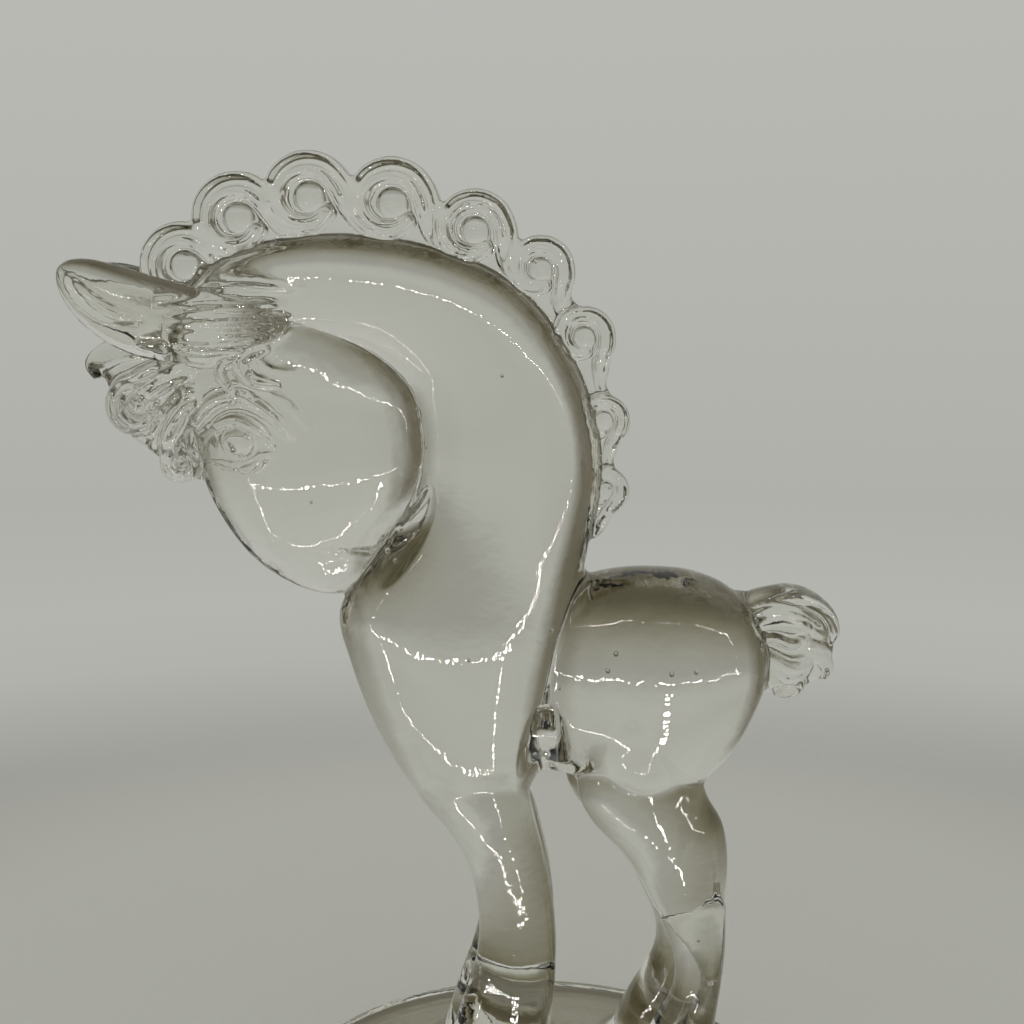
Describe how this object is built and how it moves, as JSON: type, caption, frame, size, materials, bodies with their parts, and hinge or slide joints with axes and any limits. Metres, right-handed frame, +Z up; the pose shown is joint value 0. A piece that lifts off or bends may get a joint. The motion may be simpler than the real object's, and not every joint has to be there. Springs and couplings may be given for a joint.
{
  "type": "glass horse figurine",
  "caption": "Clear pressed-glass figurine of a standing horse with tucked head, scrolled mane, curled forelock and short curled tail, cast in one piece with its oval base.",
  "frame": {"origin": "centre of the oval base's flat underside, on the surface it stands on", "axes": "+Z up, X along the horse from its head (-X) to its tail (+X), Y across the body, with the side the picture shows at -Y"},
  "size_m": [0.2275, 0.115, 0.299],
  "materials": {
    "clear_glass": "clear, fire polished"
  },
  "bodies": {
    "root": {"glass_horse": "clear_glass"}
  },
  "joints": []
}
